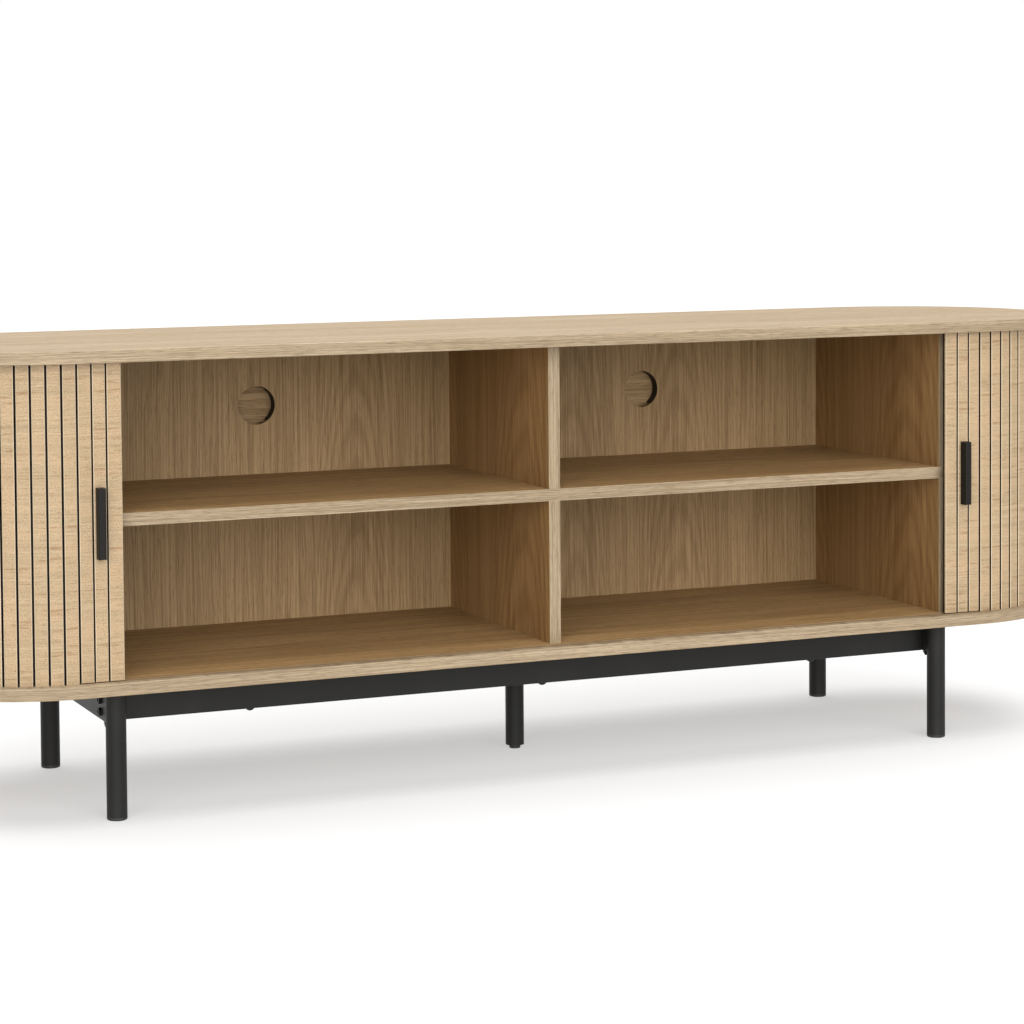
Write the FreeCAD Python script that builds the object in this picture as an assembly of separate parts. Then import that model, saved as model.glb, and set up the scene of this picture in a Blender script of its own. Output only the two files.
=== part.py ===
# Media cabinet with rounded ends: oak-faced boards, two tambour doors and a black steel underframe.
# Millimetres, +Z up, +X to the right, -Y to the front. The origin is on the floor under the middle.
import FreeCAD, Part
import math
import os

from FreeCAD import Vector

os.makedirs("parts", exist_ok=True)

# ---- driving dimensions: overall -------------------------------------------------------------
LENGTH = 1600.0             # over the two rounded ends
DEPTH = 400.0
HEIGHT = 550.0
CLEARANCE_UNDER = 152.0     # floor to the underside of the bottom board

# ---- boards ----------------------------------------------------------------------------------
OUTER_BOARD = 15.0          # top and bottom boards
SHELF_BOARD = 15.0          # long shelf and centre divider
SIDE_BOARD = 15.0
INNER_BACK_BOARD = 16.0
THIN_BOARD = 5.0            # rear panel and bent end panels
EDGE_ROUND = 1.0            # eased edge of a veneered board
SHELF_INSET = 30.0          # front of shelf and uprights, behind the front edge
SIDE_INNER_X = 551.0        # inner face of a side panel, and free edge of a door
INNER_BACK_Y = 155.0        # front face of the inner back

# ---- tambour doors ---------------------------------------------------------------------------
DOOR_INSET = 12.8           # outer face of the slats, behind the edge of the boards
SLAT_THICKNESS = 7.0
SLAT_PITCH = 17.0
LEADING_EXTRA = 1.8         # the slat at the free edge is this much wider
SLAT_GAP = 2.0
SLAT_CHAMFER = 0.8
SLAT_COUNT = 21
CANVAS = 0.6
TRACK_DEPTH = 5.0
TRACK_PLAY = 0.8            # each side of the slats in the track
TONGUE = 4.0                # how far a slat's end runs in its track
PLAIN_END_PLAY = 1.0        # gap above and below a slat that has no tongue
HANDLE_WIDTH = 9.0
HANDLE_ROUND = 1.5          # rounded edges of the bar's front
HANDLE_X = 578.0            # middle of the bar, on the second slat
HANDLE_LENGTH = 82.0
HANDLE_SLAT = 1             # counted from the free edge, starting at 0

# ---- cable holes -----------------------------------------------------------------------------
CABLE_HOLE_X = 277.0
CABLE_HOLE_Z = 448.0
CABLE_HOLE_R = 25.0
OUTLET_WIDTH = 90.0
OUTLET_HEIGHT = 34.0
OUTLET_Z = 205.0
DUCT_WIDTH = 32.0           # cable duct in the rear of the inner back, from the hole to the outlet
DUCT_DEPTH = 12.0

# ---- steel underframe ------------------------------------------------------------------------
LEG_X = 554.5
LEG_Y = 157.5
LEG_R = 12.0
TUBE_WALL = 1.5
TUBE_CORNER = 2.0
RAIL_HEIGHT = 40.0
RAIL_WIDTH = 20.0
LONG_RAIL_Y = 128.0
RAIL_BOLT_X = 382.0
GLIDE_HEIGHT = 4.0
WELD_SIZE = 5.0
CENTRE_LEG_X = 24.0
CENTRE_LEG_Y = 15.0
FOOT_R = 7.2
FOOT_HEIGHT = 6.0
FOOT_TRAVEL = 6.0

# ---- fastener sizes --------------------------------------------------------------------------
BOLT_R = 3.0
BOLT_HOLE_R = 3.2
STUD_R = 4.0
STUD_PLAY = 0.05
DOWEL_R = 4.0
DOWEL_LENGTH = 40.0
CAM_R = 7.5
CAM_DEPTH = 12.0
CAM_DROP = 34.0             # cam axis below the top board
CAM_BOLT_GRIP = 8.0         # how far a cam bolt screws into the top board
SCREW_ROWS_Y = (-110.0, 90.0)
DOWEL_ROWS_Y = (-140.0, -20.0, 100.0)

# ---- worked out from the above ---------------------------------------------------------------
END_X = LENGTH / 2 - DEPTH / 2                  # centre of each rounded end
END_R = DEPTH / 2
FLOOR_Z = CLEARANCE_UNDER + OUTER_BOARD         # top of the bottom board
CEILING_Z = HEIGHT - OUTER_BOARD                # underside of the top board
SHELF_Z0 = (FLOOR_Z + CEILING_Z - SHELF_BOARD) / 2
SHELF_Z1 = SHELF_Z0 + SHELF_BOARD
FRONT_Y = -END_R + SHELF_INSET
REAR_Y = INNER_BACK_Y + INNER_BACK_BOARD        # inner face of the rear panel
SLAT_OUTER_R = END_R - DOOR_INSET
CANVAS_R = SLAT_OUTER_R - SLAT_THICKNESS
TRACK_OUTER_R = SLAT_OUTER_R + TRACK_PLAY
TRACK_INNER_R = CANVAS_R - TRACK_PLAY
RAIL_Z0 = CLEARANCE_UNDER - RAIL_HEIGHT
RAIL_BOLTS_Z = (RAIL_Z0 + 10.0, RAIL_Z0 + 24.0)
UPRIGHTS_X = (-SIDE_INNER_X - SIDE_BOARD / 2, 0.0, SIDE_INNER_X + SIDE_BOARD / 2)
STRAIGHT = END_X - SIDE_INNER_X                 # straight stretch of a parked door
SHELF_REACH_R = END_R - SHELF_INSET

X_AXIS = Vector(1, 0, 0)
Y_AXIS = Vector(0, 1, 0)
Z_AXIS = Vector(0, 0, 1)


# ---- helpers ---------------------------------------------------------------------------------
def block(x0, x1, y0, y1, z0, z1):
    return Part.makeBox(x1 - x0, y1 - y0, z1 - z0, Vector(x0, y0, z0))


def rod(x, y, z, radius, length, direction=Z_AXIS):
    return Part.makeCylinder(radius, length, Vector(x, y, z), direction)


def stadium(radius, z0, z1):
    """Board with two half-round ends about the cabinet's end centres."""
    height = z1 - z0
    middle = block(-END_X, END_X, -radius, radius, z0, z1)
    left = rod(-END_X, 0, z0, radius, height)
    right = rod(END_X, 0, z0, radius, height)
    return middle.fuse([left, right]).removeSplitter()


def ring_sector(inner, outer, start, end, z0, z1):
    """Bent sheet about the right end's centre; angles in degrees from the front, going outwards."""
    def point(radius, degrees):
        a = math.radians(degrees)
        return Vector(END_X + radius * math.sin(a), -radius * math.cos(a), z0)

    middle = (start + end) / 2
    edges = [
        Part.Arc(point(outer, start), point(outer, middle), point(outer, end)).toShape(),
        Part.makeLine(point(outer, end), point(inner, end)),
        Part.Arc(point(inner, end), point(inner, middle), point(inner, start)).toShape(),
        Part.makeLine(point(inner, start), point(outer, start)),
    ]
    return Part.Face(Part.Wire(edges)).extrude(Vector(0, 0, z1 - z0))


def mirrored(shape):
    """The same piece on the other end of the cabinet."""
    return shape.mirror(Vector(0, 0, 0), X_AXIS)


def both_ends(shapes):
    return shapes + [mirrored(s) for s in shapes]


def edges_at(shape, axis, value):
    """Edges that lie wholly in the plane where the axis has this value."""
    return [e for e in shape.Edges if all(abs(getattr(v.Point, axis) - value) < 0.01 for v in e.Vertexes)]


def upright_edges(shape):
    return [e for e in shape.Edges if len(e.Vertexes) == 2
            and abs(e.Vertexes[0].Z - e.Vertexes[1].Z) > 0.9 * shape.BoundBox.ZLength]


def export(name, shapes):
    shape = shapes if isinstance(shapes, Part.Shape) else Part.makeCompound(shapes)
    shape.exportStep("parts/" + name + ".step")
    print(name, len(shape.Solids), "solid(s), valid", shape.isValid())


# ---- fasteners, in the row frame -------------------------------------------------------------
def base_screws():
    """Countersunk screws, up through the bottom board into each upright."""
    screws = []
    for x in UPRIGHTS_X:
        for y in SCREW_ROWS_Y:
            head = Part.makeCone(5.0, 2.5, 4.0, Vector(x, y, CLEARANCE_UNDER))
            shank = rod(x, y, CLEARANCE_UNDER + 4.0, 2.5, 46.0)
            screws.append(head.fuse(shank).removeSplitter())
    return screws


def cam_discs():
    """Round cam housings let into the hidden face of each upper upright."""
    discs = []
    z = CEILING_Z - CAM_DROP
    for y in SCREW_ROWS_Y:
        for face_x in (SIDE_INNER_X + SIDE_BOARD, -SIDE_INNER_X, SHELF_BOARD / 2):
            start_x = face_x - CAM_DEPTH
            if face_x < 0:
                start_x = -SIDE_INNER_X - SIDE_BOARD
            discs.append(rod(start_x, y, z, CAM_R, CAM_DEPTH, X_AXIS))
    return discs


def cam_bolts():
    """Steel pins from the top board down to the cams."""
    start = CEILING_Z - CAM_DROP + CAM_R + 0.3
    length = CEILING_Z + CAM_BOLT_GRIP - start
    return [rod(x, y, start, BOLT_R, length) for x in UPRIGHTS_X for y in SCREW_ROWS_Y]


def shelf_dowels():
    """Beech dowels that pass through the shelf into the uprights above and below it."""
    start = (SHELF_Z0 + SHELF_Z1 - DOWEL_LENGTH) / 2
    return [rod(x, y, start, DOWEL_R, DOWEL_LENGTH) for x in UPRIGHTS_X for y in DOWEL_ROWS_Y]


def panel_screws(face_y, columns, length):
    """Countersunk screws driven forwards through a thin back, flush with its rear face."""
    screws = []
    for x in columns:
        for z in (FLOOR_Z + 25.0, (FLOOR_Z + SHELF_Z0) / 2, (SHELF_Z1 + CEILING_Z) / 2, CEILING_Z - 25.0):
            head = Part.makeCone(3.5, 1.75, 2.5, Vector(x, face_y, z), Vector(0, -1, 0))
            shank = rod(x, face_y - 2.5, z, 1.75, length - 2.5, Vector(0, -1, 0))
            screws.append(head.fuse(shank).removeSplitter())
    return screws


def rail_bolt_places():
    return [(x, y) for y in (-LONG_RAIL_Y, LONG_RAIL_Y) for x in (-RAIL_BOLT_X, 0.0, RAIL_BOLT_X)]


def panel_inserts():
    """Threaded sleeves in the bottom board, one over each rail bolt."""
    inserts = []
    for x, y in rail_bolt_places():
        sleeve = rod(x, y, CLEARANCE_UNDER, 5.0, 12.0)
        inserts.append(sleeve.cut(rod(x, y, CLEARANCE_UNDER, BOLT_R, 12.0)))
    return inserts


def rail_bolts():
    """Dome-headed bolts, up through the long rails into the inserts."""
    bolts = []
    head_r = 6.0
    head_h = 4.0
    ball_r = (head_r * head_r + head_h * head_h) / (2 * head_h)
    for x, y in rail_bolt_places():
        ball = Part.makeSphere(ball_r, Vector(x, y, RAIL_Z0 - head_h + ball_r))
        dome = ball.common(rod(x, y, RAIL_Z0 - head_h, head_r, head_h))
        shank = rod(x, y, RAIL_Z0, BOLT_R, RAIL_HEIGHT + 11.0)
        bolts.append(dome.fuse(shank).removeSplitter())
    return bolts


def side_bolts():
    """Socket-headed bolts, through each side rail into the end of a long rail."""
    bolts = []
    outer_x = LEG_X + RAIL_WIDTH / 2
    for y in (-LONG_RAIL_Y, LONG_RAIL_Y):
        for z in RAIL_BOLTS_Z:
            head = rod(outer_x, y, z, 4.8, 3.5, X_AXIS)
            socket = rod(outer_x + 1.3, y, z, 2.4, 2.2, X_AXIS)
            shank = rod(outer_x - 27.0, y, z, BOLT_R, 27.0, X_AXIS)
            bolts.append(head.cut(socket).fuse(shank).removeSplitter())
    return both_ends(bolts)


# ---- boards ----------------------------------------------------------------------------------
def outer_board(z0, track_z0):
    """Top or bottom board with eased edges and the track that both doors run in."""
    board = stadium(END_R, z0, z0 + OUTER_BOARD)
    board = board.makeFillet(EDGE_ROUND, edges_at(board, "z", z0) + edges_at(board, "z", z0 + OUTER_BOARD))
    track = stadium(TRACK_OUTER_R, track_z0, track_z0 + TRACK_DEPTH)
    return board.cut(track.cut(stadium(TRACK_INNER_R, track_z0, track_z0 + TRACK_DEPTH)))


def boards():
    dowels = shelf_dowels()
    screws = base_screws()
    bolts = cam_bolts()
    discs = cam_discs()
    back_screws = panel_screws(REAR_Y, UPRIGHTS_X, 40.0)

    top = outer_board(CEILING_Z, CEILING_Z).cut(bolts)
    export("top_panel", top)

    sleeves = [rod(x, y, CLEARANCE_UNDER, 5.0, 12.0) for x, y in rail_bolt_places()]
    bottom = outer_board(CLEARANCE_UNDER, FLOOR_Z - TRACK_DEPTH).cut(screws + sleeves + plate_screws())
    export("bottom_panel", bottom)

    shelf = stadium(SHELF_REACH_R, SHELF_Z0, SHELF_Z1)
    reach = SIDE_INNER_X + SIDE_BOARD
    shelf = shelf.cut(block(-reach, reach, INNER_BACK_Y, DEPTH, 0, HEIGHT))
    export("shelf_board", shelf.cut(dowels))

    uprights = {
        "left_side_panel": (-SIDE_INNER_X - SIDE_BOARD, -SIDE_INNER_X),
        "divider": (-SHELF_BOARD / 2, SHELF_BOARD / 2),
        "right_side_panel": (SIDE_INNER_X, SIDE_INNER_X + SIDE_BOARD),
    }
    levels = {"upper": (SHELF_Z1, CEILING_Z), "lower": (FLOOR_Z, SHELF_Z0)}
    for name, (x0, x1) in uprights.items():
        for level, (z0, z1) in levels.items():
            board = block(x0, x1, FRONT_Y, INNER_BACK_Y, z0, z1)
            export(name + "_" + level, board.cut(dowels + screws + bolts + discs + back_screws))

    rear_screws = panel_screws(REAR_Y + THIN_BOARD, (-530.0, -30.0, 530.0), 16.0)
    inner = block(-reach, reach, INNER_BACK_Y, REAR_Y, FLOOR_Z, CEILING_Z)
    openings = []
    for x in (-CABLE_HOLE_X, CABLE_HOLE_X):
        through = INNER_BACK_BOARD + 2.0
        openings.append(rod(x, INNER_BACK_Y - 1.0, CABLE_HOLE_Z, CABLE_HOLE_R, through, Y_AXIS))
        openings.append(cable_duct(x))
    export("inner_back_panel", inner.cut(openings + back_screws + rear_screws))
    export("inner_back_screws", back_screws)

    rear = block(-END_X, END_X, REAR_Y, REAR_Y + THIN_BOARD, FLOOR_Z, CEILING_Z)
    export("rear_panel", rear.cut([cable_outlet(x) for x in (-CABLE_HOLE_X, CABLE_HOLE_X)] + rear_screws))
    export("rear_panel_screws", rear_screws)

    export("base_screws", screws)
    export("cam_discs", discs)
    export("cam_bolts", bolts)
    export("shelf_dowels", dowels)


def cable_duct(x):
    """Routed channel in the rear of the inner back, from a cable hole down to its outlet."""
    half = DUCT_WIDTH / 2
    foot = OUTLET_Z - OUTLET_HEIGHT / 2
    return block(x - half, x + half, REAR_Y - DUCT_DEPTH, REAR_Y + 1.0, foot, CABLE_HOLE_Z)


def cable_outlet(x):
    """Slot with round ends, through the rear panel."""
    half = (OUTLET_WIDTH - OUTLET_HEIGHT) / 2
    y0 = REAR_Y - 1.0
    depth = THIN_BOARD + 2.0
    z0 = OUTLET_Z - OUTLET_HEIGHT / 2
    z1 = OUTLET_Z + OUTLET_HEIGHT / 2
    middle = block(x - half, x + half, y0, y0 + depth, z0, z1)
    ends = [rod(x + s * half, y0, OUTLET_Z, OUTLET_HEIGHT / 2, depth, Y_AXIS) for s in (-1, 1)]
    return middle.fuse(ends).removeSplitter()


def end_panels():
    """Bent panels that close the rear quarter of each end, inside the track."""
    panel = ring_sector(REAR_Y, REAR_Y + THIN_BOARD, 88.0, 180.0, FLOOR_Z, CEILING_Z)
    export("right_end_panel", panel)
    export("left_end_panel", mirrored(panel))

    glue_blocks = []
    for degrees in (100.0, 140.0):
        for z in (FLOOR_Z, CEILING_Z - 18.0):
            piece = block(-10.0, 10.0, -REAR_Y + 0.5, -REAR_Y + 13.0, z, z + 18.0)
            piece.rotate(Vector(0, 0, 0), Z_AXIS, degrees)
            piece.translate(Vector(END_X, 0, 0))
            glue_blocks.append(piece)
    export("end_panel_blocks", both_ends(glue_blocks))


# ---- tambour doors ---------------------------------------------------------------------------
def slat(index):
    """One slat of the right door. Those on the curve have a tongue at each end."""
    along = (index + 0.5) * SLAT_PITCH + LEADING_EXTRA - SLAT_GAP / 2
    half = (SLAT_PITCH - SLAT_GAP) / 2
    near = -half - LEADING_EXTRA if index == 0 else -half
    cut = SLAT_CHAMFER
    curved = along > STRAIGHT
    reach = TONGUE if curved else -PLAIN_END_PLAY
    outline = [(near, 0), (near, cut - SLAT_THICKNESS), (near + cut, -SLAT_THICKNESS),
               (half - cut, -SLAT_THICKNESS), (half, cut - SLAT_THICKNESS), (half, 0)]
    points = [Vector(x, y - CANVAS_R, FLOOR_Z - reach) for x, y in outline]
    piece = Part.Face(Part.makePolygon(points + points[:1]))
    piece = piece.extrude(Vector(0, 0, CEILING_Z - FLOOR_Z + 2 * reach))
    if curved:
        piece.rotate(Vector(0, 0, 0), Z_AXIS, math.degrees((along - STRAIGHT) / CANVAS_R))
        piece.translate(Vector(END_X, 0, 0))
    else:
        piece.translate(Vector(SIDE_INNER_X + along, 0, 0))
    return piece


def handle_screws():
    """Two screws, from inside the door into the handle."""
    screws = []
    middle = (FLOOR_Z + CEILING_Z) / 2
    for z in (middle - 25.0, middle + 25.0):
        face = -CANVAS_R + CANVAS
        head = rod(HANDLE_X, face, z, 3.2, 1.6, Y_AXIS)
        shank = rod(HANDLE_X, -SLAT_OUTER_R - 8.0, z, 1.6, face + SLAT_OUTER_R + 8.0, Y_AXIS)
        screws.append(head.fuse(shank).removeSplitter())
    return screws


def handle():
    x = HANDLE_X
    middle = (FLOOR_Z + CEILING_Z) / 2
    z0 = middle - HANDLE_LENGTH / 2
    bar = block(x - HANDLE_WIDTH / 2, x + HANDLE_WIDTH / 2, -END_R, -SLAT_OUTER_R, z0, z0 + HANDLE_LENGTH)
    return bar.makeFillet(HANDLE_ROUND, edges_at(bar, "y", -END_R))


def canvas():
    """Cloth glued to the inner side of the slats."""
    z0 = FLOOR_Z + 2.0
    z1 = CEILING_Z - 2.0
    covered = SLAT_COUNT * SLAT_PITCH - STRAIGHT - SLAT_GAP
    flat = block(SIDE_INNER_X + SLAT_GAP, END_X, -CANVAS_R, -CANVAS_R + CANVAS, z0, z1)
    bent = ring_sector(CANVAS_R - CANVAS, CANVAS_R, 0.0, math.degrees(covered / CANVAS_R), z0, z1)
    return flat.fuse(bent).removeSplitter()


def doors():
    screws = handle_screws()
    slats = [slat(i) for i in range(SLAT_COUNT)]
    slats = [s.cut(screws) if i == HANDLE_SLAT else s for i, s in enumerate(slats)]
    pieces = {
        "door_slats": slats,
        "door_canvas": [canvas().cut(screws)],
        "door_handle": [handle().cut(screws)],
        "door_handle_screws": screws,
    }
    for name, shapes in pieces.items():
        export("right_" + name, shapes)
        export("left_" + name, [mirrored(s) for s in shapes])

    stops = []
    for z in (FLOOR_Z - TRACK_DEPTH, CEILING_Z):
        stops.append(block(END_X - 12.0, END_X - 2.0, TRACK_INNER_R, TRACK_OUTER_R, z, z + TRACK_DEPTH))
    export("track_stops", both_ends(stops))


# ---- steel underframe ------------------------------------------------------------------------
def edges_along(shape, axis):
    """Straight edges that run parallel to the axis."""
    return [e for e in shape.Edges if len(e.Vertexes) == 2
            and abs(abs(e.tangentAt(e.FirstParameter).dot(axis)) - 1.0) < 0.001]


def rectangular_tube(x0, x1, y0, y1, z0, z1, axis):
    """Tube with round corners that runs along the given axis."""
    w = TUBE_WALL
    outer = block(x0, x1, y0, y1, z0, z1)
    outer = outer.makeFillet(TUBE_CORNER, edges_along(outer, axis))
    inner = block(x0 + w * axis.y, x1 - w * axis.y, y0 + w * axis.x, y1 - w * axis.x, z0 + w, z1 - w)
    return outer.cut(inner)


def legs():
    for side, x in (("left", -LEG_X), ("right", LEG_X)):
        for end, y in (("front", -LEG_Y), ("rear", LEG_Y)):
            tube = rod(x, y, GLIDE_HEIGHT, LEG_R, CLEARANCE_UNDER - GLIDE_HEIGHT)
            tube = tube.cut(rod(x, y, GLIDE_HEIGHT, LEG_R - TUBE_WALL, CLEARANCE_UNDER - GLIDE_HEIGHT))
            export(end + "_" + side + "_leg", tube)

            cap = rod(x, y, 0, LEG_R, GLIDE_HEIGHT)
            cap = cap.makeFillet(2.0, edges_at(cap, "z", 0.0))
            plug = rod(x, y, GLIDE_HEIGHT, LEG_R - TUBE_WALL, 10.0)
            export(end + "_" + side + "_glide", cap.fuse(plug).removeSplitter())


def rails():
    half = RAIL_WIDTH / 2
    z0 = RAIL_Z0
    z1 = CLEARANCE_UNDER
    bolts = side_bolts()
    posts = [rod(x, y, 0, LEG_R, HEIGHT) for x in (-LEG_X, LEG_X) for y in (-LEG_Y, LEG_Y)]
    holes = [rod(s * (LEG_X - half - 1.0), y, z, BOLT_HOLE_R, RAIL_WIDTH + 2.0, X_AXIS * s)
             for s in (-1, 1) for y in (-LONG_RAIL_Y, LONG_RAIL_Y) for z in RAIL_BOLTS_Z]

    for name, x in (("left_side_rail", -LEG_X), ("right_side_rail", LEG_X)):
        rail = rectangular_tube(x - half, x + half, -LEG_Y, LEG_Y, z0, z1, Y_AXIS)
        for s in (-1, 1):
            near = s * (LEG_Y - LEG_R + 1.0)
            far = s * (LEG_Y - LEG_R - WELD_SIZE)
            corners = [Vector(x - half, near, z0), Vector(x - half, far, z0),
                       Vector(x - half, near, z0 - WELD_SIZE)]
            weld = Part.Face(Part.makePolygon(corners + corners[:1])).extrude(X_AXIS * RAIL_WIDTH)
            rail = rail.fuse(weld)
        export(name, rail.cut(posts + holes).removeSplitter())

    reach = LEG_X - half
    for name, y in (("front_rail", -LONG_RAIL_Y), ("rear_rail", LONG_RAIL_Y)):
        rail = rectangular_tube(-reach, reach, y - half, y + half, z0, z1, X_AXIS)
        through = [rod(bx, by, z0 - 1.0, BOLT_HOLE_R, RAIL_HEIGHT + 2.0) for bx, by in rail_bolt_places()]
        export(name, rail.cut(through))

    w = TUBE_WALL
    plates = [block(reach - 4.0, reach, y - half + w, y + half - w, z0 + w, z1 - w)
              for y in (-LONG_RAIL_Y, LONG_RAIL_Y)]
    export("rail_end_plates", [p.cut(bolts) for p in both_ends(plates)])
    export("side_rail_bolts", bolts)
    export("rail_bolts", rail_bolts())
    export("panel_inserts", panel_inserts())


def plate_screws():
    """Four screws that hold the centre leg's plate to the bottom board."""
    screws = []
    for dx in (-22.0, 22.0):
        for dy in (-22.0, 22.0):
            x = CENTRE_LEG_X + dx
            y = CENTRE_LEG_Y + dy
            head = rod(x, y, CLEARANCE_UNDER - 5.0, 4.0, 2.0)
            shank = rod(x, y, CLEARANCE_UNDER - 3.0, 2.0, 14.0)
            screws.append(head.fuse(shank).removeSplitter())
    return screws


def centre_leg():
    x = CENTRE_LEG_X
    y = CENTRE_LEG_Y
    plate_z = CLEARANCE_UNDER - 3.0
    tube_z = FOOT_HEIGHT - 1.0
    nut_z = FOOT_HEIGHT + FOOT_TRAVEL + 0.5
    screws = plate_screws()

    tube = rod(x, y, tube_z, LEG_R, plate_z - tube_z)
    export("centre_leg", tube.cut(rod(x, y, tube_z, LEG_R - TUBE_WALL, plate_z - tube_z)))

    plate = block(x - 30.0, x + 30.0, y - 30.0, y + 30.0, plate_z, CLEARANCE_UNDER)
    plate = plate.makeFillet(5.0, upright_edges(plate))
    export("centre_leg_plate", plate.cut(screws))
    export("centre_leg_screws", screws)

    nut = rod(x, y, nut_z, LEG_R - TUBE_WALL, 10.0)
    export("centre_leg_nut", nut.cut(rod(x, y, nut_z, STUD_R + STUD_PLAY, 10.0)))

    pad = rod(x, y, 0, FOOT_R, FOOT_HEIGHT)
    pad = pad.makeFillet(1.2, edges_at(pad, "z", 0.0))
    export("centre_foot_pad", pad)
    export("centre_foot_stud", rod(x, y, FOOT_HEIGHT, STUD_R, 34.0))


boards()
end_panels()
doors()
legs()
rails()
centre_leg()
covered = math.degrees((SLAT_COUNT * SLAT_PITCH - STRAIGHT) / CANVAS_R)
print("slats cover", round(covered, 1), "degrees of the end")
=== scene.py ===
# %% [markdown]
# # A media cabinet with rounded ends
#
# The cabinet is a long, low box of oak-veneered boards on a black steel underframe.
# Four open bays fill the middle. Each rounded end is closed by a tambour: a door made of
# upright slats glued to a cloth, which runs in a groove around the end.
#
# Every board, slat, tube and screw already exists at its real size as a CAD solid, so
# nothing is modelled again here. This lesson loads those solids and gives each one the
# finish that the real piece has. All lengths are in metres, and +Z is up.

import math

import bpy
from mathutils import Matrix, Vector

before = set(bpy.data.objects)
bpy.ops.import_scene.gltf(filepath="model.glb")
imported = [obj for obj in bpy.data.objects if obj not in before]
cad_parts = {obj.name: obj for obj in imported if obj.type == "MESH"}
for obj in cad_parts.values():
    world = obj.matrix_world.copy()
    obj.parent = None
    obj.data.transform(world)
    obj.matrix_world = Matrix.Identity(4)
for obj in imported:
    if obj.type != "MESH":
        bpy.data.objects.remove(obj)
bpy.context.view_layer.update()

# %% [markdown]
# ## Camera
#
# A long lens from the front left, a little above the top board, shows the bays, both doors
# and the underframe together. The camera could be tilted down to bring the floor into the
# frame, but then upright lines would lean together. Here it stays almost level and the lens
# is shifted, as on a view camera, so upright lines stay upright.

# %% Camera
CAMERA_PLACE = Vector((-1.4118, -3.3190, 0.7584))
CAMERA_YAW = math.radians(23.307)
CAMERA_PITCH = math.radians(2.771)
CAMERA_ROLL = math.radians(0.414)
SENSOR_WIDTH = 36.0
LENS = 98.99
LENS_SHIFT = -0.207
FARTHEST_SEEN = 200.0

ahead = Vector((math.sin(CAMERA_YAW) * math.cos(CAMERA_PITCH),
                math.cos(CAMERA_YAW) * math.cos(CAMERA_PITCH),
                -math.sin(CAMERA_PITCH)))
level_right = Vector((math.cos(CAMERA_YAW), -math.sin(CAMERA_YAW), 0.0))
level_down = ahead.cross(level_right)
right = level_right * math.cos(CAMERA_ROLL) + level_down * math.sin(CAMERA_ROLL)
up = level_right * math.sin(CAMERA_ROLL) - level_down * math.cos(CAMERA_ROLL)

camera = bpy.data.objects.new("camera", bpy.data.cameras.new("camera"))
camera.data.sensor_width = SENSOR_WIDTH
camera.data.lens = LENS
camera.data.shift_y = LENS_SHIFT
camera.data.clip_end = FARTHEST_SEEN
camera.matrix_world = Matrix((
    (right.x, up.x, -ahead.x, CAMERA_PLACE.x),
    (right.y, up.y, -ahead.y, CAMERA_PLACE.y),
    (right.z, up.z, -ahead.z, CAMERA_PLACE.z),
    (0.0, 0.0, 0.0, 1.0)))
bpy.context.scene.collection.objects.link(camera)
bpy.context.scene.camera = camera
print("camera:", [round(v, 3) for v in CAMERA_PLACE], "lens", LENS)

# %% [markdown]
# ## Shader maths
#
# A finish is a small calculation that Blender repeats at every point of a surface. Its
# nodes could be placed by hand in the shader editor. Written as Python expressions, the
# same nodes can be read from top to bottom. `Wire` wraps one output socket of a node. An
# operator on a wire adds a Math node, and `node` adds any other kind of node.

# %% Wire: one output socket
class Wire:
    """An output socket of a shader node. Arithmetic on it adds Math nodes."""

    def __init__(self, tree, socket=None):
        self.tree = tree
        self.socket = socket

    def node(self, kind, settings=None, inputs=None, output=0):
        """Adds a node: its type, its settings, then the values or wires of its sockets."""
        made = self.tree.nodes.new("ShaderNode" + kind)
        for name, setting in (settings or {}).items():
            setattr(made, name, setting)
        for name, value in (inputs or {}).items():
            if isinstance(value, Wire):
                self.tree.links.new(value.socket, made.inputs[name])
            else:
                made.inputs[name].default_value = value
        return Wire(self.tree, made.outputs[output] if made.outputs else None)

    def math(self, operation, first, second=0.0):
        return self.node("Math", {"operation": operation}, {0: first, 1: second})

    def __add__(self, other):
        return self.math("ADD", self, other)

    __radd__ = __add__

    def __sub__(self, other):
        return self.math("SUBTRACT", self, other)

    def __rsub__(self, other):
        return self.math("SUBTRACT", other, self)

    def __mul__(self, other):
        return self.math("MULTIPLY", self, other)

    __rmul__ = __mul__

    def __truediv__(self, other):
        return self.math("DIVIDE", self, other)

    def __gt__(self, other):
        return self.math("GREATER_THAN", self, other)

    def __lt__(self, other):
        return self.math("LESS_THAN", self, other)

    def __abs__(self):
        return self.math("ABSOLUTE", self)


print("a wire has + - * / < > and abs")

# %% [markdown]
# ### Helpers on wires
#
# Three steps come back in every finish: a noise that is stretched along one direction, a
# value rescaled to run from 0 to 1 between two limits, and a mix of two colours. Conditions
# such as `z > 0.1` give 1 or 0, so a product means "and", and `either` means "or".

# %% Helpers on wires
MIX_FACTOR, MIX_FIRST, MIX_SECOND, MIX_RESULT = 0, 6, 7, 2


def vector(wire, x, y, z):
    """A vector from three numbers or wires."""
    return wire.node("CombineXYZ", inputs={0: x, 1: y, 2: z})


def stretched_noise(wire, place, per_metre, detail=2.0, roughness=0.5):
    """Noise at a place (x, y, z), with its number of features per metre on each axis."""
    at = vector(wire, *(step * count for step, count in zip(place, per_metre)))
    return wire.node("TexNoise", inputs={
        "Vector": at, "Scale": 1.0, "Detail": detail, "Roughness": roughness})


def ramp_between(value, low, high):
    """0 below low, 1 above high, and a smooth slope between them."""
    return value.node("MapRange", {"interpolation_type": "SMOOTHSTEP"},
                      {"Value": value, "From Min": low, "From Max": high})


def either(first, second):
    """1 where at least one of two conditions holds."""
    return first + second > 0.5


def opaque(colour):
    """A colour's wire as it is, or a colour's three numbers with an alpha of 1."""
    return colour if isinstance(colour, Wire) else (*colour, 1.0)


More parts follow.
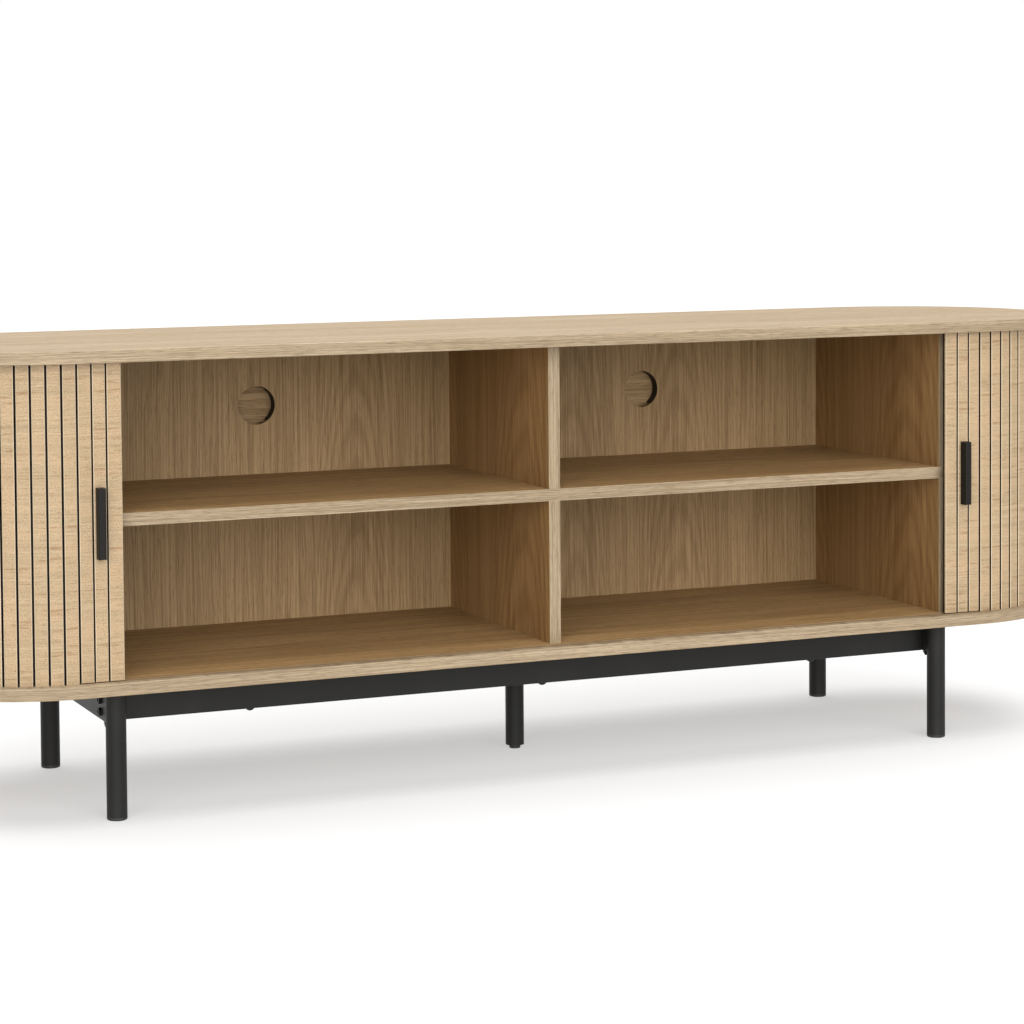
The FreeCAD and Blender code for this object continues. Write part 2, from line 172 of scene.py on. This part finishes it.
def mix_colour(factor, first, second):
    """The first colour where the factor is 0, the second where it is 1."""
    sockets = {MIX_FACTOR: factor, MIX_FIRST: opaque(first), MIX_SECOND: opaque(second)}
    return factor.node("Mix", {"data_type": "RGBA"}, sockets, output=MIX_RESULT)


def new_material(name):
    """An empty node material, with the wire that everything else grows from."""
    material = bpy.data.materials.new(name)
    material.use_nodes = True
    material.node_tree.nodes.clear()
    return material, Wire(material.node_tree)


def finish_surface(wire, colour, roughness, height=None, depth=0.0, constants=None):
    """Joins colour, roughness and a relief of some depth to the material's output."""
    inputs = {"Base Color": opaque(colour), "Roughness": roughness}
    inputs.update(constants or {})
    if height is not None:
        inputs["Normal"] = wire.node("Bump", inputs={
            "Height": height, "Strength": 1.0, "Distance": depth})
    surface = wire.node("BsdfPrincipled", inputs=inputs)
    wire.node("OutputMaterial", inputs={"Surface": surface})


print("helpers: noise, ramp, mix, surface")

# %% [markdown]
# ## Places on the cabinet
#
# A finish needs to know where it is on the board. The object's own coordinates do for flat
# boards, and they need no unwrapping. The edge band and the slats bend around the end, and
# their grain bends with them, so they measure along the outline instead: straight along the
# front, then round the arc.

# %% Places on the cabinet
END_CENTRE = 0.600
END_RADIUS = 0.190


def own_axes(wire, kind):
    """The x, y and z of one kind of texture coordinate, as three wires."""
    whole = wire.node("TexCoord", output=kind)
    return [wire.node("SeparateXYZ", inputs={0: whole}, output=axis) for axis in range(3)]


def own_place(wire):
    """The x, y and z of a point, in metres, which ride along when the piece moves."""
    return own_axes(wire, "Object")


def own_normal(wire):
    """Which way the surface faces, in the piece's own axes."""
    return own_axes(wire, "Normal")


def along_outline(x, y):
    """Distance along the cabinet's outline from the middle of the front."""
    past = abs(x) - END_CENTRE
    straight = past.math("MINIMUM", past, 0.0)
    turned = past.math("ARCTAN2", past.math("MAXIMUM", past, 0.0), y * -1.0)
    return x.math("SIGN", x) * (END_CENTRE + straight + END_RADIUS * turned)


def from_spine(x, y):
    """Distance, seen from above, from the straight line between the two end centres."""
    past = abs(x) - END_CENTRE
    beyond = past.math("MAXIMUM", past, 0.0)
    squared = beyond * beyond + y * y
    return squared.math("SQRT", squared)


def facing_outwards(x, y, normal):
    """1 where a surface faces straight out of the outline, 0 where it faces along it."""
    past = abs(x) - END_CENTRE
    out_x = x.math("SIGN", x) * past.math("MAXIMUM", past, 0.0)
    outward = x.node("VectorMath", {"operation": "NORMALIZE"}, {0: vector(x, out_x, y, 0.0)})
    return x.node("VectorMath", {"operation": "DOT_PRODUCT"},
                  {0: vector(x, *normal), 1: outward}, output="Value")


print("outline from the front's middle to the tip:",
      round(END_CENTRE + END_RADIUS * math.pi / 2, 3), "m")

# %% [markdown]
# ## Oak veneer
#
# Sliced oak shows four things at once: broad bands of lighter and darker wood, ring lines
# that wander slowly, fine fibres, and short dark pores. A picture of veneer could be wrapped
# around the boards, but it would repeat and blur close up. Here each of the four is noise
# stretched along the grain, at its own scale, and it stays sharp at any distance.
#
# A board is faced with several leaves of veneer side by side, so the pattern jumps, and the
# tone changes a little, at each joint between two leaves.

# %% Oak veneer
JOINT_WIDTH = 0.0008
LEAF_JUMP = 3.71
PORE = (0.110, 0.065, 0.032)

# How many features a metre of wood holds: along the grain, then across it.
DRIFTS = (2.2, 7.0)
BANDS = (0.9, 15.0)
RINGS = (1.6, 95.0)
FIBRES = (5.0, 360.0)
PORES = (60.0, 640.0)


def veneer_leaves(grain, across, width, shift):
    """Makes the pattern jump from leaf to leaf. Returns the place along the grain, a tone,
    the joint lines and the place across the leaf, from 0 to 1."""
    counted = across / width + shift
    leaf = counted.math("FLOOR", counted)
    tone = leaf.node("TexWhiteNoise", {"noise_dimensions": "1D"}, {"W": leaf})
    within = counted - leaf
    return grain + leaf * LEAF_JUMP, tone, within < JOINT_WIDTH / width, within


def grain_noise(place, per_metre, fine=1.0, detail=2.0, roughness=0.5):
    """Noise at a place (along, across, through the wood), stretched along the grain."""
    along, across = per_metre
    return stretched_noise(place[0], place, (along, across * fine, across * fine),
                           detail, roughness)


def oak_pattern(grain, across, through, wander, fine=1.0):
    """Bands, ring lines, fibres and pores, each as a wire from 0 to 1."""
    drift = grain_noise((grain, across, through), DRIFTS)
    place = (grain, across + (drift - 0.5) * wander, through)
    rings = grain_noise(place, RINGS, fine, detail=3.0, roughness=0.6)
    fibres = grain_noise(place, FIBRES, fine, roughness=0.7)
    pores = grain_noise(place, PORES, fine, detail=1.0)
    return {"bands": grain_noise(place, BANDS, fine),
            "rings": ramp_between(rings, 0.32, 0.68),
            "fibres": ramp_between(fibres, 0.30, 0.70),
            "pores": ramp_between(pores, 0.56, 0.66)}


print("oak features per metre across the grain:",
      {"bands": BANDS[1], "rings": RINGS[1], "fibres": FIBRES[1], "pores": PORES[1]})

# %% [markdown]
# ### Arches, colour and relief
#
# Where the knife cuts flat across the rings, a leaf has nested arches in its middle. Noise
# gives no arches, however it is stretched. A number that grows along the grain and with the
# distance from the leaf's middle does, once only its fraction is kept.
#
# The parts of the pattern are then added up, each with its own weight, to one number that
# picks a colour between two tones. The relief adds them up too: fibres and rings stand up,
# and pores sink in.

# %% Arches, colour and relief
ARCH_POINT = 40.0
ARCHES_PER_METRE = 14.0
ARCH_WOBBLE = 2.2
WOBBLES = (3.0, 14.0, 1.0)
PLAIN_LEAVES = 0.45
WEIGHT = {"bands": 0.36, "rings": 0.30, "fibres": 0.56, "pores": 0.40, "arches": 0.24}
RELIEF = {"fibres": 0.60, "rings": 0.25, "pores": 0.80}


def cathedral(grain, across, within, tone):
    """Nested arches in the middle of a leaf, from 0 to 1. Leaves of a low tone have none."""
    off = within - 0.5
    bent = stretched_noise(grain, (grain, across, 0.0), WOBBLES)
    turn = off * off * ARCH_POINT + grain * ARCHES_PER_METRE + bent * ARCH_WOBBLE
    line = turn - turn.math("FLOOR", turn)
    arch = ramp_between(abs(line - 0.5), 0.14, 0.44)
    middle = 1.0 - ramp_between(abs(off), 0.22, 0.46)
    return arch * middle * (tone > PLAIN_LEAVES)


def oak_colour(pattern, tones, strength, arches=None):
    """The pattern as a mix of a dark and a light tone, with the pores on top."""
    depth = 0.5 + ((pattern["bands"] - 0.5) * WEIGHT["bands"]
                   + (pattern["rings"] - 0.5) * WEIGHT["rings"]
                   + (pattern["fibres"] - 0.5) * WEIGHT["fibres"]) * strength
    if arches is not None:
        depth = depth - arches * (WEIGHT["arches"] * strength)
    wood = mix_colour(ramp_between(depth, 0.0, 1.0), *tones)
    return mix_colour(pattern["pores"] * (WEIGHT["pores"] * strength), wood, PORE)


def leaf_colour(colour, tone, joint, dark, difference, joint_line):
    """Makes some leaves darker than others, and draws the joints between them."""
    colour = mix_colour(tone * difference, colour, dark)
    return mix_colour(joint * joint_line, colour, PORE)


def oak_height(pattern):
    return (pattern["fibres"] * RELIEF["fibres"] + pattern["rings"] * RELIEF["rings"]
            - pattern["pores"] * RELIEF["pores"])


print("from arch to arch:", round(1.0 / ARCHES_PER_METRE, 3), "m")

# %% [markdown]
# ### Tones
#
# All of the wood is pale oak under a matt lacquer, but no two sheets of veneer are alike.
# The board faces are the palest, the edge bands a little darker, and the slats a little
# yellower. The insides of the bays are painted darker and browner, as shade. Each has a dark
# and a light tone, and its pattern moves between the two. One pair for everything would be
# simpler, but flat.

# %% Tones
BOARD_TONES = ((0.255, 0.186, 0.112), (0.445, 0.352, 0.244))
EDGE_TONES = ((0.205, 0.148, 0.085), (0.385, 0.297, 0.192))
# The three bay tones below are darker, browner copies of the same oak: painted shade inside
# the bays.
SHADED_BAY_TONES = ((0.225, 0.135, 0.054), (0.450, 0.305, 0.150))
SHADED_WALL_TONES = ((0.200, 0.103, 0.033), (0.395, 0.240, 0.098))
SHADED_FLOOR_TONES = ((0.205, 0.112, 0.039), (0.425, 0.270, 0.118))
SLAT_TONES = ((0.280, 0.195, 0.104), (0.470, 0.354, 0.217))
# Painted shade: near-black on the walls of the cable holes and on the sides of the slats.
PAINTED_SHADE = (0.012, 0.008, 0.005)
GROOVE = (0.200, 0.125, 0.062)
DASH = (0.135, 0.088, 0.046)
LACQUER = {"Specular IOR Level": 0.32}
MATT = 0.50
GRAIN_DEPTH = 0.00012
print("light tone of the boards:", BOARD_TONES[1])

# %% [markdown]
# ### Top, bottom and shelf boards
#
# The veneer on the faces runs the length of the cabinet. The edge is covered by a thin
# band of the same oak, bent around the ends, whose grain follows the outline. It is cut
# across the pores, which show as short dark dashes. The narrow rim between the doors' track
# and the edge has the band's grain too. Inside the bays the faces take darker, browner tones
# as painted shade, and the sawn track itself is darker.
#
# Each board could be split into faces with a material of their own. One material that asks
# where it is, and which way it faces, does the same without cutting up the mesh.

# %% Edge band
BAND_DASHES = (38.0, 1000.0, 1.0)
BAND_FINENESS = 2.2
BOTTOM_BOARD_Z = (0.152, 0.167)
TOP_BOARD_Z = (0.535, 0.550)
SKIN = 0.0003


def edge_band(along, across):
    """Colour and height of a band whose grain follows the edge."""
    pattern = oak_pattern(along, across, 0.0, wander=0.008, fine=BAND_FINENESS)
    dashes = stretched_noise(along, (along, across, 0.0), BAND_DASHES)
    colour = oak_colour(pattern, EDGE_TONES, strength=1.0)
    colour = mix_colour(ramp_between(dashes, 0.54, 0.66) * 0.50, colour, DASH)
    return colour, oak_height(pattern) - dashes * 0.6


def inside_board(z, board_z):
    """1 between a board's two faces, where only the edge band and the sawn track show."""
    return (z > board_z[0] + SKIN) * (z < board_z[1] - SKIN)


print("height of the edge band:", round(TOP_BOARD_Z[1] - TOP_BOARD_Z[0], 3), "m")

# %% Top, bottom and shelf boards
BOARD_LEAF = 0.135
BOARD_LEAF_SHIFT = 0.37
BAND_START = 5.3
FACING = 0.70
TRACK_MIDDLE = 0.1837
TRACK_HALF = 0.0075


def board_oak(name):
    material, wire = new_material(name)
    x, y, z = own_place(wire)
    out = from_spine(x, y)

    on_top = z > TOP_BOARD_Z[1] - SKIN
    outer_face = on_top + (z < BOTTOM_BOARD_Z[0] + SKIN)
    level = abs(own_normal(wire)[2]) > FACING
    on_face = level * either(out < TRACK_MIDDLE, outer_face)
    in_wood = either(inside_board(z, BOTTOM_BOARD_Z), inside_board(z, TOP_BOARD_Z))
    in_track = (abs(out - TRACK_MIDDLE) < TRACK_HALF) * in_wood

    grain, tone, joint, _ = veneer_leaves(x, y, BOARD_LEAF, BOARD_LEAF_SHIFT)
    face = oak_pattern(grain, y, z, wander=0.028)
    top_face = oak_colour(face, BOARD_TONES, strength=0.80)
    # Level faces inside the bays, and under the bottom board, get the darker bay tones:
    # painted shade. The top keeps the board tones.
    shaded_bay_face = oak_colour(face, SHADED_FLOOR_TONES, strength=0.95)
    face_colour = mix_colour(on_top, shaded_bay_face, top_face)
    face_colour = leaf_colour(face_colour, tone, joint, SHADED_BAY_TONES[0], 0.22, 0.35)

    band_colour, band_height = edge_band(along_outline(x, y) + BAND_START, z)
    colour = mix_colour(on_face, band_colour, face_colour)
    colour = mix_colour(in_track, colour, GROOVE)
    height = on_face * oak_height(face) + (1.0 - on_face) * band_height
    roughness = MATT + face["bands"] * 0.10 + face["pores"] * 0.10
    finish_surface(wire, colour, roughness, height, GRAIN_DEPTH, LACQUER)
    return material


oak_board = board_oak("oak_board")
print("finish:", oak_board.name)

# %% [markdown]
# ### Uprights and backs
#
# The divider and the side panels have upright grain. So has the inner back, where two
# veneer leaves meet every 16 cm or so. The outer back and the bent end panels have level
# grain, which shows through the cable holes. All of them take the darker, browner bay
# tones as painted shade. The front edges of the uprights are banded like the boards, and
# the sawn wall of a cable hole is painted near-black as shade inside the hole.
#
# The grain could be turned with a rotated texture. Here `oak_pattern` is simply told which
# of the board's own axes its grain follows.

# %% Uprights and inner back
HOLE_X = 0.277
HOLE_Z = 0.448
HOLE_RADIUS = 0.025
HOLE_MARGIN = 0.001
UPRIGHT_BAND_START = 2.1


def hole_wall(x, z, normal):
    """1 on the sawn wall of a cable hole."""
    off_x = abs(x) - HOLE_X
    off_z = z - HOLE_Z
    squared = off_x * off_x + off_z * off_z
    off_centre = squared.math("SQRT", squared)
    return (off_centre < HOLE_RADIUS + HOLE_MARGIN) * (abs(normal[1]) < 0.5)


def upright_oak(name, tones, leaf_width, shift, banded=False):
    """Veneer with upright grain, for boards that face either along x or along y."""
    material, wire = new_material(name)
    x, y, z = own_place(wire)
    normal = own_normal(wire)
    across = x + y
    grain, tone, joint, within = veneer_leaves(z, across, leaf_width, shift)
    pattern = oak_pattern(grain, across, x - y, wander=0.026)
    # Every leaf of the banded boards has arches. On the inner back the tone decides.
    arches = cathedral(grain, across, within, tone + 1.0 if banded else tone)
    colour = oak_colour(pattern, tones, strength=0.78, arches=arches)
    colour = leaf_colour(colour, tone, joint, tones[0], 0.18, 0.45)
    if banded:
        band_colour, _ = edge_band(z + UPRIGHT_BAND_START, x)
        colour = mix_colour(normal[1] < -FACING, colour, band_colour)
    # The wall of a cable hole is painted near-black, as shade inside the hole.
    colour = mix_colour(hole_wall(x, z, normal), colour, PAINTED_SHADE)
    roughness = MATT + pattern["bands"] * 0.12
    finish_surface(wire, colour, roughness, oak_height(pattern), GRAIN_DEPTH, LACQUER)
    return material


# The uprights and the inner back take the darker bay tones: painted shade.
oak_upright = upright_oak("oak_upright", SHADED_WALL_TONES, 0.2775, 0.84, banded=True)
oak_inner_back = upright_oak("oak_inner_back", SHADED_BAY_TONES, 0.158, 0.42)
print("finishes:", oak_upright.name, oak_inner_back.name)

# %% Outer back and bent end panels
LEVEL_LEAF = 0.184
LEVEL_LEAF_SHIFT = 0.09


def level_oak(name):
    """Veneer with level grain that follows the outline around the ends."""
    material, wire = new_material(name)
    x, y, z = own_place(wire)
    outline = along_outline(x, y)
    grain, tone, joint, _ = veneer_leaves(outline, z, LEVEL_LEAF, LEVEL_LEAF_SHIFT)
    pattern = oak_pattern(grain, z, 0.0, wander=0.040)
    # The outer back and the end panels take the darker bay tones: painted shade.
    colour = oak_colour(pattern, SHADED_BAY_TONES, strength=1.1)
    colour = leaf_colour(colour, tone, joint, SHADED_BAY_TONES[0], 0.15, 0.40)
    roughness = MATT + pattern["bands"] * 0.12
    finish_surface(wire, colour, roughness, oak_height(pattern), GRAIN_DEPTH, LACQUER)
    return material


oak_level = level_oak("oak_level")
print("finish:", oak_level.name)

# %% [markdown]
# ### Slats
#
# The slats are sawn from one veneered sheet and stay in order, so the level grain runs on
# from slat to slat. It is lively wood, with peach-coloured patches, short brown ring lines
# and a fine speckle of pores. Each edge has a small bevel, with a pale painted highlight on
# it. The sides of the slats, in the narrow gaps between them, are painted near-black as
# shade, except on the free edge next to the bays.
#
# Each slat could have a material of its own, but that would be forty-two of them. One
# material that counts the slats along the outline gives each its own tone.

# %% Slats
SLAT_PITCH = 0.0170
SLAT_START = 0.5510
FREE_EDGE = 0.5513
SLAT_FRONT = 0.1835
SLAT_DEPTH = 0.00006
PATCHES = (24.0, 46.0, 1.0)
SHORT_LINES = (20.0, 210.0, 1.0)
SPECKLE = (520.0, 640.0, 1.0)
BEVEL_HIGHLIGHT = (0.60, 0.50, 0.36)
RING_LINE = (0.235, 0.125, 0.052)
PEACH = (0.440, 0.300, 0.175)


def slat_oak(name):
    material, wire = new_material(name)
    x, y, z = own_place(wire)
    outline = along_outline(x, y)
    counted = (abs(outline) - SLAT_START) / SLAT_PITCH
    slat = counted.math("FLOOR", counted)
    tone = slat.node("TexWhiteNoise", {"noise_dimensions": "1D"}, {"W": slat})

    pattern = oak_pattern(outline, z, 0.0, wander=0.022, fine=1.3)
    colour = oak_colour(pattern, SLAT_TONES, strength=0.62)
    patches = stretched_noise(wire, (outline, z, 0.0), PATCHES)
    colour = mix_colour(ramp_between(patches, 0.42, 0.66) * 0.55, colour, PEACH)
    wavy = (outline, z + (pattern["bands"] - 0.5) * 0.012, 0.0)
    lines = stretched_noise(wire, wavy, SHORT_LINES, detail=3.0, roughness=0.6)
    colour = mix_colour(ramp_between(lines, 0.575, 0.665) * 0.62, colour, RING_LINE)
    speckle = stretched_noise(wire, (outline, z, 0.0), SPECKLE, detail=1.0)
    colour = mix_colour(ramp_between(speckle, 0.48, 0.68) * 0.42, colour, DASH)
    colour = mix_colour(tone * 0.10, colour, SLAT_TONES[0])

    facing = abs(facing_outwards(x, y, own_normal(wire)))
    # A pale painted highlight on the bevels of the slats.
    bevel = ramp_between(facing, 0.50, 0.65) * (1.0 - ramp_between(facing, 0.80, 0.93))
    colour = mix_colour(bevel * 0.65, colour, BEVEL_HIGHLIGHT)
    # Painted shade: the sides of the slats, in the gaps between them, are made near-black.
    sideways = 1.0 - ramp_between(facing, 0.25, 0.40)
    hidden = either(abs(x) > FREE_EDGE, abs(y) < SLAT_FRONT)
    colour = mix_colour(sideways * hidden, colour, PAINTED_SHADE)
    roughness = MATT + pattern["fibres"] * 0.10
    height = oak_height(pattern) - lines * 0.3
    finish_surface(wire, colour, roughness, height, SLAT_DEPTH, LACQUER)
    return material


oak_slats = slat_oak("oak_slats")
print("finish:", oak_slats.name)

# %% [markdown]
# ### Beech
#
# Dowels, glue blocks and stops are plain beech, which no one sees from the front. Beech is
# even and pinkish, with short dark flecks along the grain. The oak's pattern would be too
# lively for it. Two stretched noises, one for the tone and one for the flecks, are enough.

# %% Beech
BEECH_FLECKS = (120.0, 900.0, 900.0)
BEECH_BANDS = (4.0, 60.0, 60.0)
BEECH_DEPTH = 0.00006


def beech_wood(name):
    material, wire = new_material(name)
    x, y, z = own_place(wire)
    flecks = stretched_noise(wire, (z, x, y), BEECH_FLECKS, detail=1.0)
    tone = stretched_noise(wire, (z, x, y), BEECH_BANDS)
    colour = mix_colour(tone, (0.42, 0.27, 0.16), (0.60, 0.43, 0.28))
    colour = mix_colour(ramp_between(flecks, 0.62, 0.70) * 0.5, colour, (0.24, 0.13, 0.07))
    finish_surface(wire, colour, 0.62 + tone * 0.1, flecks, BEECH_DEPTH)
    return material


beech = beech_wood("beech")
print("finish:", beech.name)

# %% [markdown]
# ## Powder-coated steel
#
# The tubes and the handles are coated with black powder that is melted on in an oven. It
# sets in tiny hills, like the skin of an orange, which blur every reflection. Hands leave
# it slightly greyer and duller in places, and dust makes it greyer near the floor.
#
# One black with one roughness would look like wet paint. A fine bump for the hills and a
# coarse noise for the handling make it look like a coating. The black oxide of the screws
# is the same finish with a finer grain.

# %% Powder-coated steel
HANDLED_PER_METRE = 14.0
DUST_Z = (0.002, 0.045)
COAT_DEPTH = 0.00010
COAT_GLOSS = {"Specular IOR Level": 0.20}


def powder_coat(name, black, hills_per_metre):
    material, wire = new_material(name)
    place = own_place(wire)
    hills = stretched_noise(wire, place, (hills_per_metre,) * 3)
    handled = stretched_noise(wire, place, (HANDLED_PER_METRE,) * 3, detail=3.0)
    rubbed = ramp_between(handled, 0.45, 0.75)
    near_floor = 1.0 - ramp_between(place[2], *DUST_Z)
    greyer = [tone * 2.0 for tone in black]
    colour = mix_colour(rubbed * 0.35 + near_floor * 0.15, black, greyer)
    roughness = 0.40 + hills * 0.10 + rubbed * 0.06
    finish_surface(wire, colour, roughness, hills, COAT_DEPTH, COAT_GLOSS)
    return material


black_steel = powder_coat("black_steel", (0.0105, 0.0103, 0.0094), 900.0)
black_handle = powder_coat("black_handle", (0.0050, 0.0043, 0.0032), 1400.0)
black_screw = powder_coat("black_screw", (0.0050, 0.0050, 0.0048), 2500.0)
print("finishes:", black_steel.name, black_handle.name, black_screw.name)

# %% [markdown]
# ## Zinc-plated screws
#
# Screws and cams come from the plating bath, bright but blotchy. A single grey metal would
# look like chrome. The blotches are a noise in the colour, and a fine stretched noise in
# the relief is the turning marks from the lathe.

# %% Zinc-plated screws
BLOTCHES = (300.0, 300.0, 300.0)
TURNING_MARKS = (900.0, 900.0, 6000.0)
MARK_DEPTH = 0.00002


def zinc_plate(name):
    material, wire = new_material(name)
    place = own_place(wire)
    blotches = stretched_noise(wire, place, BLOTCHES)
    marks = stretched_noise(wire, place, TURNING_MARKS, detail=1.0)
    colour = mix_colour(blotches, (0.50, 0.50, 0.50), (0.72, 0.71, 0.67))
    roughness = 0.26 + blotches * 0.12 + marks * 0.06
    finish_surface(wire, colour, roughness, marks, MARK_DEPTH, {"Metallic": 1.0})
    return material


zinc = zinc_plate("zinc")
print("finish:", zinc.name)

# %% [markdown]
# ## Moulded plastic
#
# The glides and the foot are black plastic with a fine spark texture from the mould. Their
# rims are scuffed grey by the floor. The scuffs could be painted on, but there are five
# feet. A mask on the height above the floor puts them on all five at once.

# %% Moulded plastic
SPARK_PER_METRE = 1400.0
SCUFFS = (160.0, 160.0, 600.0)
SCUFFED_Z = (0.0008, 0.0040)
SPARK_DEPTH = 0.00006


def moulded_plastic(name):
    material, wire = new_material(name)
    place = own_place(wire)
    spark = stretched_noise(wire, place, (SPARK_PER_METRE,) * 3, detail=1.0)
    scuffs = stretched_noise(wire, place, SCUFFS, detail=3.0)
    rim = (1.0 - ramp_between(place[2], *SCUFFED_Z)) * ramp_between(scuffs, 0.45, 0.65)
    colour = mix_colour(rim * 0.6, (0.010, 0.010, 0.010), (0.060, 0.058, 0.055))
    roughness = 0.52 + spark * 0.12 + rim * 0.1
    finish_surface(wire, colour, roughness, spark, SPARK_DEPTH)
    return material


black_plastic = moulded_plastic("black_plastic")
print("finish:", black_plastic.name)

# %% [markdown]
# ## Door cloth
#
# The slats are glued to a black cotton cloth. It shows as a dark line between slats, and
# as a plain weave on the inside of the door. Modelled threads would be hundreds of
# thousands of faces that hardly show. Two sets of waves, one level and one upright, make
# the over-and-under of the threads as a relief instead.

# %% Door cloth
THREADS_PER_METRE = 900.0
FLUFF = (400.0, 400.0, 1.0)
WEAVE_DEPTH = 0.00010
BLACK_THREAD = (0.008, 0.005, 0.003)
WORN_THREAD = (0.026, 0.018, 0.011)


def door_cloth(name):
    material, wire = new_material(name)
    x, y, z = own_place(wire)
    outline = along_outline(x, y)
    turn = 2.0 * math.pi * THREADS_PER_METRE
    warp = outline.math("SINE", outline * turn)
    weft = z.math("SINE", z * turn)
    weave = warp * weft * 0.5 + 0.5
    fluff = stretched_noise(wire, (outline, z, 0.0), FLUFF, detail=3.0)
    colour = mix_colour(weave * 0.7 + fluff * 0.3, BLACK_THREAD, WORN_THREAD)
    finish_surface(wire, colour, 0.85 + fluff * 0.1, weave + fluff * 0.5, WEAVE_DEPTH)
    return material


cloth = door_cloth("door_cloth")
print("finish:", cloth.name)

# %% [markdown]
# ## Give each piece its finish
#
# The finishes could be handed out one object at a time. A list of names per finish says in
# one place which piece wears what, and it can be checked: a piece that is in no list would
# stay plain, so the cell stops if there is one.

# %% Give each piece its finish
DOORS = ("left_door", "right_door")
LEGS = [f"{end}_{side}" for end in ("front", "rear") for side in ("left", "right")]
SIDE_PANELS = [f"{side}_side_panel_{level}"
               for side in ("left", "right") for level in ("upper", "lower")]

FINISHES = [
    (oak_board, ["top_panel", "bottom_panel", "shelf_board"]),
    (oak_upright, ["divider_upper", "divider_lower"] + SIDE_PANELS),
    (oak_inner_back, ["inner_back_panel"]),
    (oak_level, ["rear_panel", "left_end_panel", "right_end_panel"]),
    (oak_slats, [f"{door}_slats" for door in DOORS]),
    (cloth, [f"{door}_canvas" for door in DOORS]),
    (beech, ["shelf_dowels", "end_panel_blocks", "track_stops"]),
    (black_steel, [f"{leg}_leg" for leg in LEGS]
     + ["left_side_rail", "right_side_rail", "front_rail", "rear_rail",
        "rail_end_plates", "centre_leg", "centre_leg_plate"]),
    (black_handle, [f"{door}_handle" for door in DOORS]),
    (black_screw, ["side_rail_bolts", "rail_bolts", "centre_leg_screws"]),
    (zinc, ["base_screws", "cam_discs", "cam_bolts", "inner_back_screws", "rear_panel_screws",
            "panel_inserts", "centre_leg_nut", "centre_foot_stud"]
     + [f"{door}_handle_screws" for door in DOORS]),
    (black_plastic, [f"{leg}_glide" for leg in LEGS] + ["centre_foot_pad"]),
]

plain = set(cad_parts)
for finish, names in FINISHES:
    for name in names:
        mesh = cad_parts[name].data
        mesh.materials.clear()
        mesh.materials.append(finish)
        plain.discard(name)
assert not plain, f"no finish for {sorted(plain)}"
print("finished pieces:", len(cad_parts))

# %% [markdown]
# ## Studio
#
# A pale floor runs to the horizon under a white sky, so there is no edge behind the
# cabinet. The floor glows a little, which evens out its light.
#
# The sky alone could light everything, but its light reaches too far into the bays. So it
# looks white and lights the cabinet at a fifth of that, and the corners of the bays stay
# deep. Two broad suns, one low in front and one high above, do the rest.

# %% Floor
FLOOR_SIZE = 60.0
FLOOR_GREY = 0.35
FLOOR_GLOW = 0.47
WHITE = (1.0, 1.0, 1.0, 1.0)


def pale_floor():
    half = FLOOR_SIZE / 2
    corners = [(-half, -half, 0), (half, -half, 0), (half, half, 0), (-half, half, 0)]
    mesh = bpy.data.meshes.new("floor")
    mesh.from_pydata(corners, [], [(0, 1, 2, 3)])
    floor = bpy.data.objects.new("floor", mesh)
    bpy.context.scene.collection.objects.link(floor)
    material, wire = new_material("floor")
    finish_surface(wire, (FLOOR_GREY,) * 3, roughness=0.9, constants={
        "Specular IOR Level": 0.0, "Emission Color": WHITE, "Emission Strength": FLOOR_GLOW})
    mesh.materials.append(material)


pale_floor()
print("floor:", FLOOR_SIZE, "m square")

# %% Suns and sky
SKY_LIGHT = 0.20


def broad_sun(name, towards, strength, spread):
    data = bpy.data.lights.new(name, "SUN")
    data.energy = strength
    data.angle = math.radians(spread)
    sun = bpy.data.objects.new(name, data)
    sun.rotation_euler = Vector(towards).to_track_quat("-Z", "Y").to_euler()
    bpy.context.scene.collection.objects.link(sun)


def white_sky():
    """A sky that looks white behind the cabinet and lights it more softly."""
    world = bpy.data.worlds.new("sky")
    world.use_nodes = True
    world.node_tree.nodes.clear()
    wire = Wire(world.node_tree)
    seen = wire.node("LightPath", output="Is Camera Ray")
    strength = SKY_LIGHT + seen * (1.0 - SKY_LIGHT)
    glow = wire.node("Background", inputs={"Color": WHITE, "Strength": strength})
    wire.node("OutputWorld", inputs={"Surface": glow})
    bpy.context.scene.world = world


broad_sun("front_sun", towards=(0.22, 1.0, -0.25), strength=5.0, spread=80.0)
broad_sun("top_sun", towards=(0.0, -0.12, -1.0), strength=4.2, spread=70.0)
white_sky()
bpy.context.scene.view_settings.view_transform = "Standard"
print("studio: two suns and a sky at", SKY_LIGHT)
